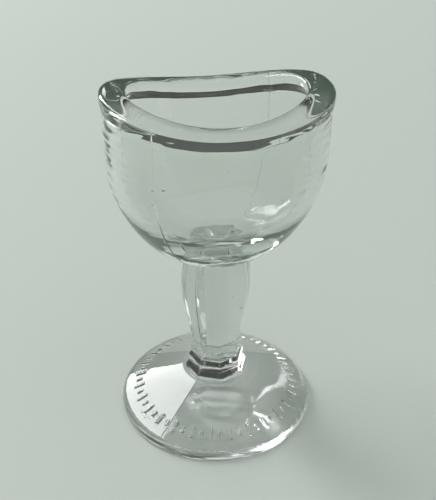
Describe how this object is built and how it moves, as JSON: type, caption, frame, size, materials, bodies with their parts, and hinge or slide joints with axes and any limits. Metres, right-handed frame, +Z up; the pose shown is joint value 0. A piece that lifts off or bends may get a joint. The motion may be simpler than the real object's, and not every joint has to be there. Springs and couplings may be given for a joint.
{
  "type": "eye bath",
  "caption": "Footed eye bath of clear pressed glass: a round foot, an eight-sided collar and stem, and an oval cup whose rim curves to fit the eye socket.",
  "frame": {"origin": "centre of the foot's flat underside, on the surface that the eye bath stands on", "axes": "+Z up along the stem, X along the oval cup's long axis towards one of the rim's two high ends, Y across the cup"},
  "size_m": [0.0386, 0.038, 0.066],
  "materials": {
    "pressed_glass": "clear colourless soda glass with a faint grey-green cast in the thick, smooth from fire polishing"
  },
  "bodies": {
    "root": {"foot": "pressed_glass", "collar": "pressed_glass", "stem": "pressed_glass", "cup": "pressed_glass", "rim": "pressed_glass"}
  },
  "joints": []
}
